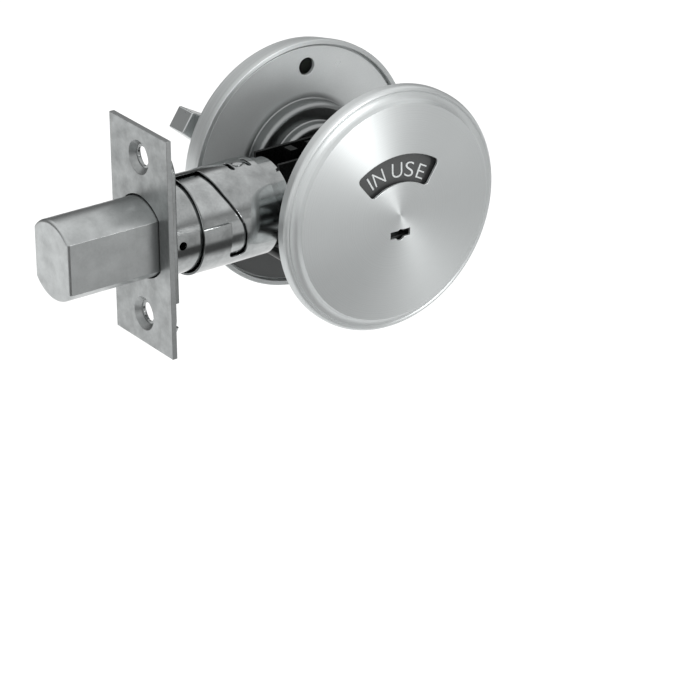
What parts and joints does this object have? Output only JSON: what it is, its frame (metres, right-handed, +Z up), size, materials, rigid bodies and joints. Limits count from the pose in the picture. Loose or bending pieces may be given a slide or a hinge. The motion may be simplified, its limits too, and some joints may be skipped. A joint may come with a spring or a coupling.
{
  "type": "deadbolt",
  "caption": "Tubular door deadbolt with a round occupancy indicator plate, adjustable latch and domed thumbturn rose.",
  "frame": {"origin": "centre of the door's cross bore, on the bolt's axis, half way through the door", "axes": "+X from the door's edge into the door, +Y from the indicator side to the thumbturn side, +Z up; the bolt is thrown along -X"},
  "size_m": [0.1187, 0.0622, 0.066],
  "materials": {
    "satin_chrome": "satin, circular brushing",
    "polished_steel": "polished",
    "satin_nickel_latch": "satin plated",
    "zinc_plated_steel": "dull plated",
    "hardened_steel": "ground",
    "dark_dial": "matt dark enamel",
    "cast_zinc": "as cast"
  },
  "bodies": {
    "lock_frame": {"faceplate": "satin_nickel_latch", "backing_tray": "zinc_plated_steel", "front_tube": "satin_nickel_latch", "adjusting_collar": "satin_nickel_latch", "outer_sleeve": "satin_nickel_latch", "rear_bulkhead": "zinc_plated_steel", "case_outside_half": "zinc_plated_steel", "case_inside_half": "zinc_plated_steel", "case_rivets": "zinc_plated_steel", "detent_leaf": "hardened_steel", "indicator_plate": "satin_chrome", "outside_back_plate": "polished_steel", "threaded_collars": "zinc_plated_steel", "driver_spacer": "cast_zinc", "driver_washer": "zinc_plated_steel", "inside_rose": "satin_chrome", "inside_back_plate": "polished_steel", "hub_bush": "satin_chrome", "hub_washer": "zinc_plated_steel", "shaft_washer": "zinc_plated_steel", "mounting_screws": "satin_chrome"},
    "turn": {"thumbturn": "satin_chrome", "spindle": "zinc_plated_steel", "cross_pin": "zinc_plated_steel", "crank": "zinc_plated_steel", "indicator_dial": "dark_dial", "emergency_driver": "cast_zinc", "driver_clip": "zinc_plated_steel", "shaft_clip": "zinc_plated_steel"},
    "bolt": {"bolt_head": "satin_nickel_latch", "bolt_tail": "zinc_plated_steel", "tail_pin": "zinc_plated_steel"},
    "guard_pin": {"saw_guard_pin": "hardened_steel"}
  },
  "joints": [
    {"name": "thumbturn_turn", "type": "hinge", "parent": "lock_frame", "child": "turn", "pos_m": [0, 0, -0.0065], "axis": [0, 1, 0], "range_deg": [0, 90]},
    {"name": "bolt_slide", "type": "slide", "parent": "lock_frame", "child": "bolt", "axis": [1, 0, 0], "range_m": [0, 0.0254]},
    {"name": "guard_pin_spin", "type": "hinge", "parent": "bolt", "child": "guard_pin", "pos_m": [-0.07, 0, 0], "axis": [1, 0, 0], "continuous": true}
  ],
  "couplings": [
    {"joint": "thumbturn_turn", "follows": "bolt_slide", "rad_per_m": 61.842}
  ]
}
